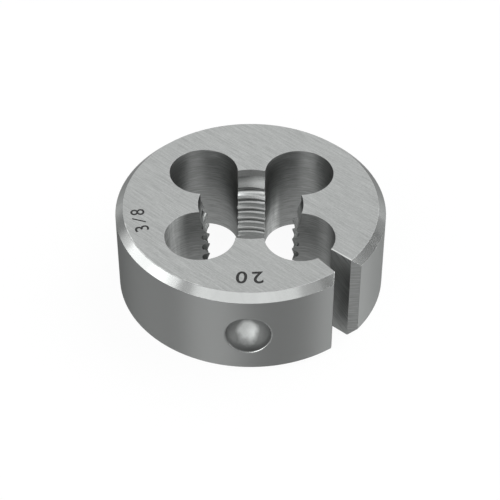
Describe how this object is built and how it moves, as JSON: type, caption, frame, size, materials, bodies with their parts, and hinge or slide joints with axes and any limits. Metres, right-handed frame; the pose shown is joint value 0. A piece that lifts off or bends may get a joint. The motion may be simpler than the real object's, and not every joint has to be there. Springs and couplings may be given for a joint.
{
  "type": "round threading die",
  "caption": "Round split die: a thick steel disc with a threaded hole, chip clearance holes around it, a slot out to the rim and a locating dimple in the rim.",
  "frame": {"origin": "centre of the lower face, on the thread's axis", "axes": "+Z along the thread's axis, out of the starting face; the rim dimple faces -Y, and the slot is midway between +X and -Y"},
  "size_m": [0.0254, 0.0254, 0.0095],
  "materials": {
    "die_steel": "ground, satin"
  },
  "bodies": {
    "root": {"threading_die": "die_steel"}
  },
  "joints": []
}
